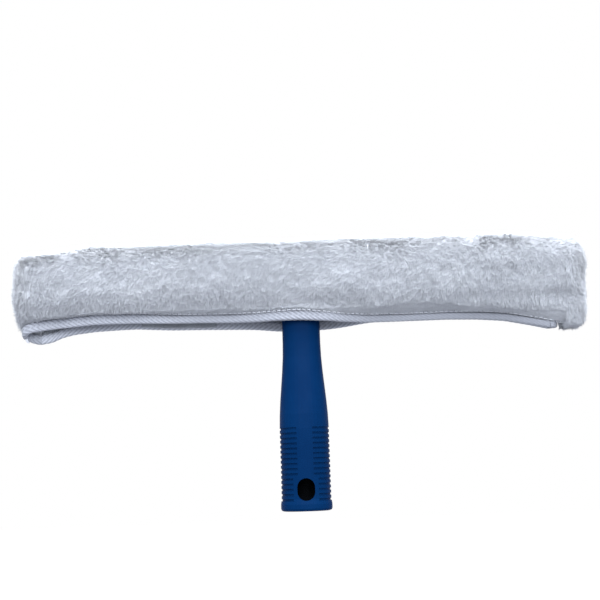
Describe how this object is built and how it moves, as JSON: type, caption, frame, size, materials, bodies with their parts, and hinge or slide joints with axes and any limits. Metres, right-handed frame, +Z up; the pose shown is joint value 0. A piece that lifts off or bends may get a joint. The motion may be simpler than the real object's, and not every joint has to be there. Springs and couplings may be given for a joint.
{
  "type": "window scrubber",
  "caption": "T-shaped hand scrubber: moulded handle with pole socket, crossbar, and a plush sleeve that draws off through a bound slit.",
  "frame": {"origin": "centre of the mouth of the pole socket, at the lower end of the handle", "axes": "+X along the roll to the right as seen from the front, -Y the front, +Z up the handle toward the roll"},
  "size_m": [0.35, 0.0464, 0.1642],
  "materials": {
    "blue_plastic": "fine satin",
    "steel": "zinc plated",
    "plush": "short pile",
    "binding_tape": "ribbed twill",
    "hook_and_loop": "hook and loop"
  },
  "bodies": {
    "t_bar": {"handle": "blue_plastic", "crossbar": "blue_plastic", "crossbar_screws": "steel"},
    "sleeve": {"plush_cover": "plush", "left_end_panel": "plush", "right_end_panel": "plush", "left_binding_turn": "binding_tape", "right_binding_turn": "binding_tape", "left_bar_tack": "binding_tape", "right_bar_tack": "binding_tape"},
    "front_flap": {"front_flap": "plush", "front_binding": "binding_tape", "left_hook_strip": "hook_and_loop", "right_hook_strip": "hook_and_loop"},
    "back_flap": {"back_flap": "plush", "back_binding": "binding_tape", "left_loop_strip": "hook_and_loop", "right_loop_strip": "hook_and_loop"}
  },
  "joints": [
    {"name": "sleeve_lift", "type": "slide", "parent": "t_bar", "child": "sleeve", "axis": [0, 0, 1], "range_m": [0, 0.045]},
    {"name": "front_flap_fold", "type": "hinge", "parent": "sleeve", "child": "front_flap", "pos_m": [0, -0.01692, 0.1225], "axis": [-1, 0, 0], "range_deg": [0, 95]},
    {"name": "back_flap_fold", "type": "hinge", "parent": "sleeve", "child": "back_flap", "pos_m": [0, 0.01692, 0.1225], "axis": [1, 0, 0], "range_deg": [0, 95]}
  ],
  "couplings": [
    {"joint": "front_flap_fold", "follows": "sleeve_lift", "rad_per_m": 36.652},
    {"joint": "back_flap_fold", "follows": "sleeve_lift", "rad_per_m": 36.652}
  ]
}
